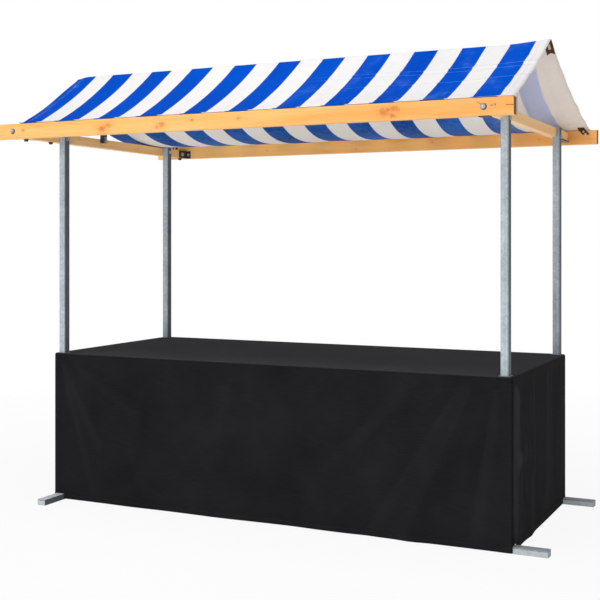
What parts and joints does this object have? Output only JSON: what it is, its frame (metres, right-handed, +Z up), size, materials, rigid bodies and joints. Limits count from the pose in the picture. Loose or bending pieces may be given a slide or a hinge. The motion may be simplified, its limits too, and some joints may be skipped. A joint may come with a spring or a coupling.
{
  "type": "market stall",
  "caption": "Market stall with galvanised steel posts, pine roof beams, a blue and white striped gable canopy and a table under a fitted black cloth.",
  "frame": {"origin": "on the ground under the middle of the overall box", "axes": "+Z up, +X along the stall to the right seen from the serving side, -Y to the serving side"},
  "size_m": [2.96, 1.704, 2.375],
  "materials": {
    "galvanised_steel": "dull zinc with spangle",
    "zinc_fixings": "bright zinc",
    "dark_steel": "dark, dull",
    "varnished_pine": "satin varnish",
    "board_wood": "raw",
    "striped_canvas": "coated canvas, blue and white stripes",
    "brown_webbing": "woven",
    "black_cloth": "matt polyester"
  },
  "bodies": {
    "root": {"beam_bolt_front_left": "zinc_fixings", "beam_bolt_front_right": "zinc_fixings", "beam_bolt_rear_left": "zinc_fixings", "beam_bolt_rear_right": "zinc_fixings", "beam_bracket_right": "dark_steel", "beam_front": "varnished_pine", "beam_rear": "varnished_pine", "canopy_front_slope": "striped_canvas", "canopy_rear_slope": "striped_canvas", "cloth_top": "black_cloth", "corner_strap_left": "brown_webbing", "corner_strap_right": "brown_webbing", "cross_rail_left": "varnished_pine", "cross_rail_right": "varnished_pine", "foot_front_left": "galvanised_steel", "foot_front_right": "galvanised_steel", "foot_rear_left": "galvanised_steel", "foot_rear_right": "galvanised_steel", "king_post_left": "dark_steel", "king_post_right": "dark_steel", "post_front_left": "galvanised_steel", "post_front_right": "galvanised_steel", "post_rear_left": "galvanised_steel", "post_rear_right": "galvanised_steel", "rail_cleat_front_left": "dark_steel", "rail_cleat_rear_left": "dark_steel", "rail_cleat_rear_right": "dark_steel", "ridge_pole": "varnished_pine", "ridge_strap_left": "brown_webbing", "ridge_strap_right": "brown_webbing", "skirt_front": "black_cloth", "skirt_left": "black_cloth", "skirt_rear": "black_cloth", "skirt_right": "black_cloth", "table_board": "board_wood", "table_rail_front": "galvanised_steel", "table_rail_left": "galvanised_steel", "table_rail_rear": "galvanised_steel", "table_rail_right": "galvanised_steel"}
  },
  "joints": []
}
